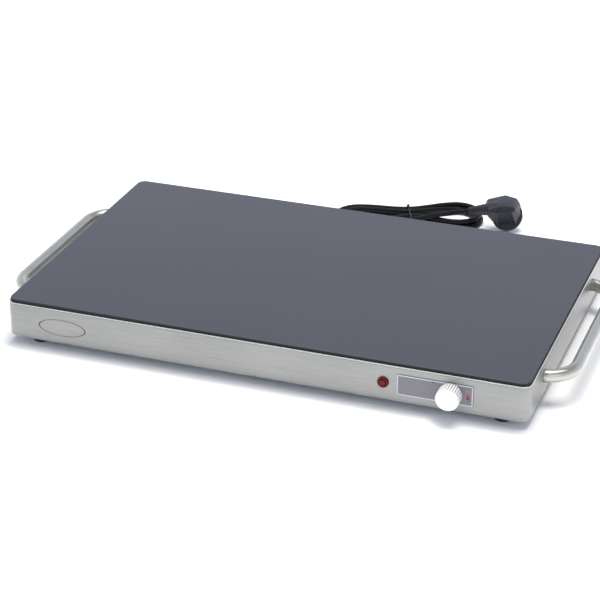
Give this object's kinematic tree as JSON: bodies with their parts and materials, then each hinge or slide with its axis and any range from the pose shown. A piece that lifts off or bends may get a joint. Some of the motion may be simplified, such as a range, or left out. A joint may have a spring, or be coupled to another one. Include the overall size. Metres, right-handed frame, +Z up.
{
  "type": "electric food warmer tray",
  "caption": "Flat electric warming tray: dark glass top on a brushed stainless housing with bar handles, a control knob, a pilot lamp and a tied mains cord.",
  "frame": {"origin": "On the floor, under the middle of the box around the tray and its knob, the cord left out.", "axes": "+X right along the long side, +Y away from the control side, +Z up."},
  "size_m": [0.671, 0.5459, 0.054],
  "materials": {
    "brushed_stainless": "brushed along the long side",
    "satin_stainless_bar": "satin",
    "dark_ceramic_glass": "smooth, opaque grey-blue",
    "grey_silicone": "matte",
    "rolled_aluminium": "mill finish",
    "galvanised_sheet": "dull zinc coat",
    "zinc_plated_steel": "zinc plated",
    "element_sheath": "heat-stained steel",
    "ceramic_wool": "fibrous",
    "black_rubber": "matte",
    "bright_knob": "bright, finely turned face",
    "dark_moulded_plastic": "moulded",
    "printed_label": "printed film",
    "red_lens": "clear red moulding",
    "cream_terminal_plastic": "moulded",
    "brown_wire": "extruded",
    "blue_wire": "extruded",
    "green_yellow_wire": "extruded",
    "copper": "bright copper",
    "black_cord_sheath": "satin",
    "tie_plastic": "clear-grey coat over wire",
    "nickel_pins": "nickel plated brass"
  },
  "bodies": {
    "tray": {"base_plate": "galvanised_sheet", "base_screw_front": "zinc_plated_steel", "base_screw_left": "zinc_plated_steel", "base_screw_rear": "zinc_plated_steel", "base_screw_right": "zinc_plated_steel", "capillary_tube": "copper", "control_label": "printed_label", "cord_bushing": "black_rubber", "cord_hank": "black_cord_sheath", "earth_stud": "zinc_plated_steel", "earth_wire": "green_yellow_wire", "element_clamp_left": "zinc_plated_steel", "element_clamp_middle": "zinc_plated_steel", "element_clamp_right": "zinc_plated_steel", "element_tray": "galvanised_sheet", "element_wire": "brown_wire", "foot_front_left": "black_rubber", "foot_front_right": "black_rubber", "foot_rear_left": "black_rubber", "foot_rear_right": "black_rubber", "foot_screw_front_left": "zinc_plated_steel", "foot_screw_front_right": "zinc_plated_steel", "foot_screw_rear_left": "zinc_plated_steel", "foot_screw_rear_right": "zinc_plated_steel", "glass_seal": "grey_silicone", "glass_top": "dark_ceramic_glass", "handle_left": "satin_stainless_bar", "handle_right": "satin_stainless_bar", "handle_screw_left_front": "zinc_plated_steel", "handle_screw_left_rear": "zinc_plated_steel", "handle_screw_right_front": "zinc_plated_steel", "handle_screw_right_rear": "zinc_plated_steel", "heat_spreader": "rolled_aluminium", "heating_element": "element_sheath", "housing_shell": "brushed_stainless", "insulation_mat": "ceramic_wool", "lamp_wire_live": "brown_wire", "lamp_wire_neutral": "blue_wire", "live_wire": "brown_wire", "mains_cord": "black_cord_sheath", "neutral_wire": "blue_wire", "pilot_lamp_body": "dark_moulded_plastic", "pilot_lamp_lens": "red_lens", "plug_body": "black_cord_sheath", "plug_pin_lower": "nickel_pins", "plug_pin_upper": "nickel_pins", "sensor_bulb": "copper", "supply_wire_live": "brown_wire", "supply_wire_neutral": "blue_wire", "terminal_block": "cream_terminal_plastic", "thermostat_body": "dark_moulded_plastic", "thermostat_nut": "zinc_plated_steel", "twist_tie": "tie_plastic"},
    "knob": {"control_knob": "bright_knob", "thermostat_shaft": "satin_stainless_bar"}
  },
  "joints": [
    {"name": "knob_turn", "type": "hinge", "parent": "tray", "child": "knob", "pos_m": [0.2163, -0.176, 0.02985], "axis": [0, 1, 0], "range_deg": [0, 270]}
  ]
}
